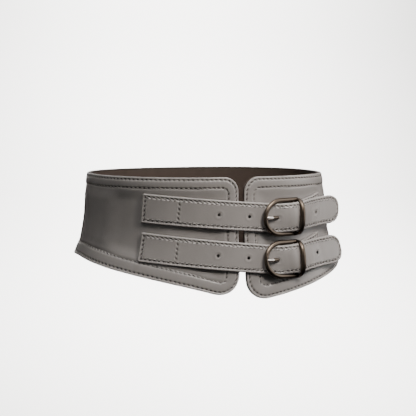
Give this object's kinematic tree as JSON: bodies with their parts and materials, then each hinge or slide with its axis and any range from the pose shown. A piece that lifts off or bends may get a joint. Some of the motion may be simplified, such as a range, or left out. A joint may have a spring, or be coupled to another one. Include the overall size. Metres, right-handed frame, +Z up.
{
  "type": "waist belt",
  "caption": "Wide leather corset-style waist belt, fastened: a flared wrap with a stitched raised border, held over the front gap by parallel straps with D-shaped buckles.",
  "frame": {"origin": "middle of the waist hollow, level with the middle of the front", "axes": "+Z up when worn, the front with the buckles faces -Y, +X towards the wearer's left"},
  "size_m": [0.2702, 0.1965, 0.1174],
  "materials": {
    "wrap_leather": "smooth satin grey leather",
    "border_leather": "smooth satin grey leather, stitched",
    "strap_leather": "smooth satin grey leather, edge stitched",
    "lining": "dark brown backing and cut edges, matt",
    "thread": "grey sewing thread",
    "buckle_metal": "polished dark gunmetal plating"
  },
  "bodies": {
    "root": {"wrap_panel": "wrap_leather", "border_frame": "border_leather", "upper_strap": "strap_leather", "upper_buckle_frame": "buckle_metal", "upper_prong": "buckle_metal", "upper_buckle_tab": "strap_leather", "lower_strap": "strap_leather", "lower_buckle_frame": "buckle_metal", "lower_prong": "buckle_metal", "lower_buckle_tab": "strap_leather"}
  },
  "joints": []
}
